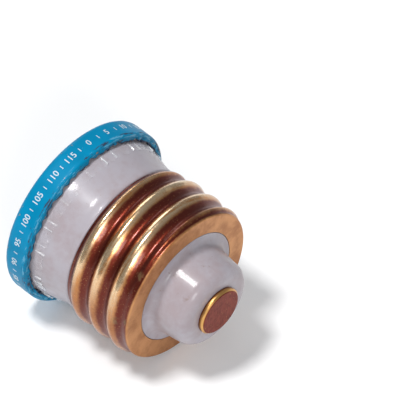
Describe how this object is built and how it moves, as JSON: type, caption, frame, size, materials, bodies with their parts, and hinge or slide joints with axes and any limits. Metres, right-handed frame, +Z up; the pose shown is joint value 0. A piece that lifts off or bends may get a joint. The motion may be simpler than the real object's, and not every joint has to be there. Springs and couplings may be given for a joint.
{
  "type": "screw-in plug fuse",
  "caption": "Round screw-in plug fuse with a blue sheet cap, clear window, porcelain body, brass threaded shell and centre contact.",
  "frame": {"origin": "on the surface that the fuse lies on, under the middle of its bounding box", "axes": "+X roughly along the fuse's axis towards the centre contact, which dips 5.39 degrees because the cap is wider than the thread; +Z up from the surface; +Y across"},
  "size_m": [0.0314, 0.0294, 0.0295],
  "materials": {
    "glazed_porcelain": "glossy, slightly grey white",
    "shell_brass": "bright rolled brass, tarnished in the roots",
    "contact_copper": "satin copper-brown with a bright bevel",
    "inner_brass": "satin brass",
    "solder": "dull grey solder",
    "mica": "clear brown mica",
    "heater_wire": "dark resistance wire",
    "pin_steel": "plated steel",
    "spring_copper": "copper-coloured spring wire",
    "link_zinc": "bright zinc strip",
    "window_film": "clear film",
    "gasket_black": "matt black",
    "cap_lacquer": "sky-blue lacquer on tinplate"
  },
  "bodies": {
    "fuse": {"insulator_body": "glazed_porcelain", "screw_shell": "shell_brass", "centre_contact": "contact_copper", "contact_strap": "inner_brass", "clinch_washer": "inner_brass", "solder_cup": "inner_brass", "solder_slug": "solder", "heater_sleeve": "mica", "heater_coil": "heater_wire", "pull_spring": "spring_copper", "fuse_link": "link_zinc", "anchor_post": "inner_brass", "anchor_rivet": "inner_brass", "terminal_post": "inner_brass", "terminal_rivet": "inner_brass", "shell_lead": "spring_copper", "shell_solder": "solder", "window_film": "window_film", "face_gasket": "gasket_black", "cap_ring": "cap_lacquer"},
    "trigger": {"trigger_pin": "pin_steel"}
  },
  "joints": [
    {"name": "cutout_release", "type": "slide", "parent": "fuse", "child": "trigger", "axis": [-0.9956, 0, 0.094], "range_m": [0, 0.004], "deforming": ["pull_spring"]}
  ]
}
